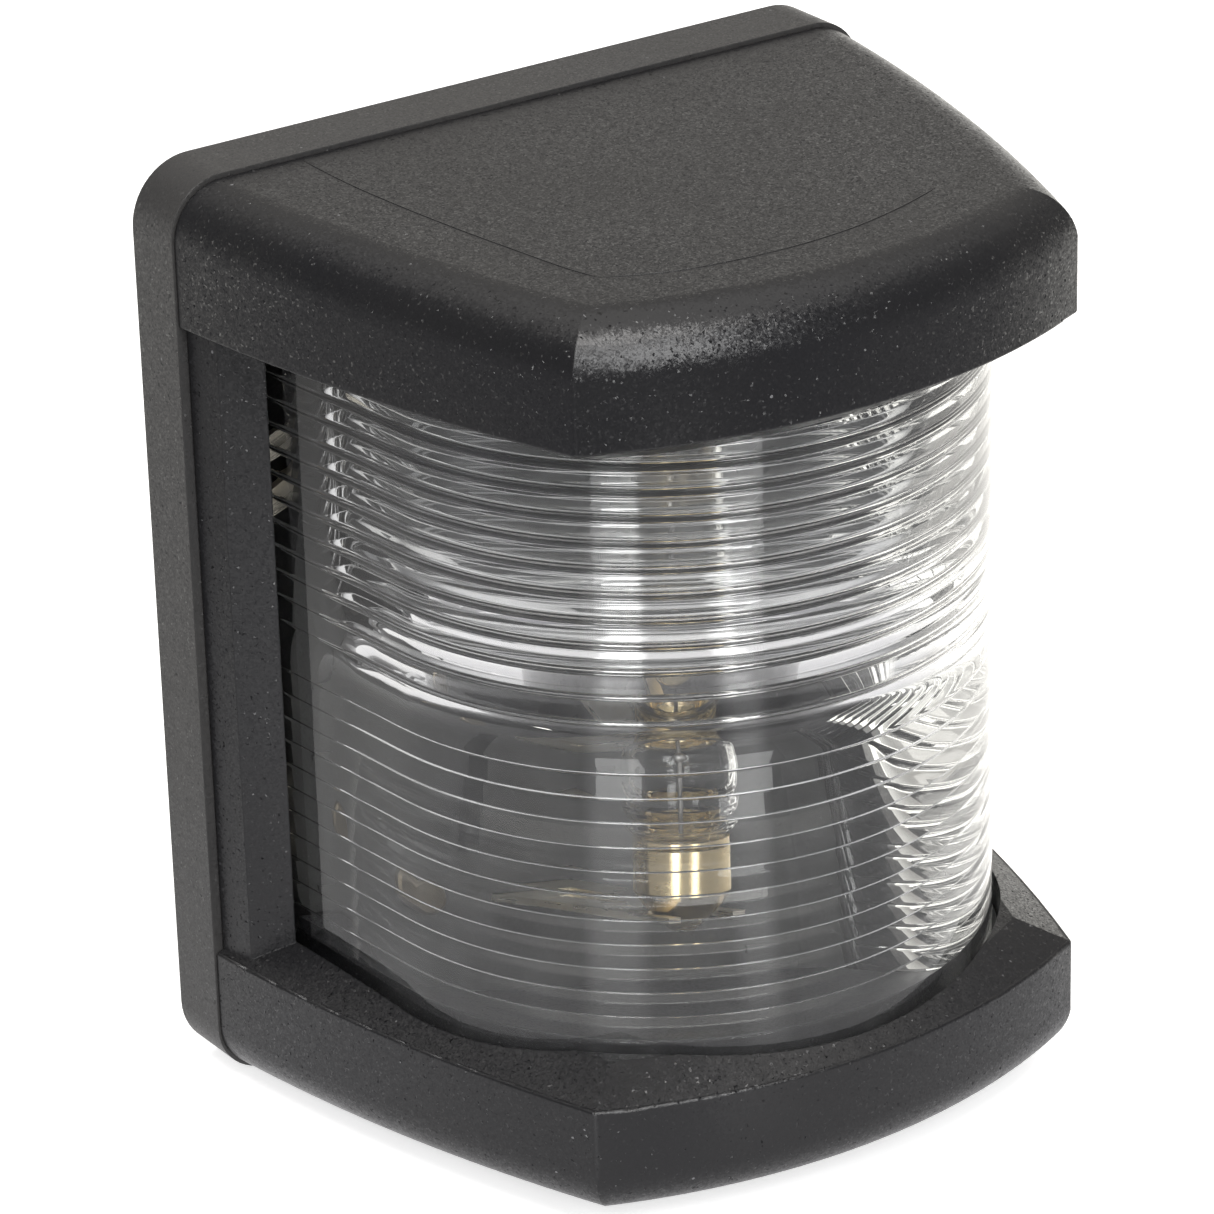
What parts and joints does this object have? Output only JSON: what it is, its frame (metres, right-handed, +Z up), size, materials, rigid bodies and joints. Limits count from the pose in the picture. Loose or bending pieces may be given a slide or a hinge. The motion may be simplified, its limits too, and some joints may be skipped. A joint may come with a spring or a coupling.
{
  "type": "navigation light",
  "caption": "Wall-mounted masthead navigation light: black two-part housing, clear ribbed wrap-round lens, side screens and a vertical festoon bulb in spring contacts.",
  "frame": {"origin": "centre of the flat back face of the base plate", "axes": "+Z up, light faces -Y, +X to the right seen from the front"},
  "size_m": [0.0782, 0.0605, 0.092],
  "materials": {
    "housing_black": "fine grained satin",
    "carrier_black": "matte",
    "lens_clear": "clear moulded",
    "seal_rubber": "matte",
    "contact_brass": "tinned, bright",
    "rivet_brass": "dull",
    "bulb_glass_clear": "clear",
    "cap_nickel": "nickel-plated brass",
    "tungsten": "dark wire",
    "stainless": "brushed",
    "nylon_washer": "natural"
  },
  "bodies": {
    "base": {"base_plate": "housing_black", "seal_cord": "seal_rubber", "cable_grommet": "seal_rubber", "bulb_carrier": "carrier_black", "carrier_screws": "stainless", "upper_contact": "contact_brass", "lower_contact": "contact_brass", "contact_rivets": "rivet_brass"},
    "bulb": {"bulb_glass": "bulb_glass_clear", "bulb_cap_upper": "cap_nickel", "bulb_cap_lower": "cap_nickel", "bulb_filament": "tungsten", "filament_leads": "tungsten"},
    "cover": {"front_cover": "housing_black", "lens": "lens_clear", "lens_seal_upper": "seal_rubber", "lens_seal_lower": "seal_rubber", "screw_washer": "nylon_washer", "captive_nut": "stainless"},
    "screw": {"cover_screw": "stainless"}
  },
  "joints": [
    {"name": "cover_release", "type": "slide", "parent": "base", "child": "cover", "axis": [0, -1, 0], "range_m": [0, 0.035]},
    {"name": "bulb_release", "type": "slide", "parent": "base", "child": "bulb", "axis": [0, -1, 0], "range_m": [0, 0.012]},
    {"name": "cover_screw_turn", "type": "hinge", "parent": "cover", "child": "screw", "pos_m": [0, -0.012, -0.042], "axis": [0, 0, 1], "continuous": true}
  ]
}
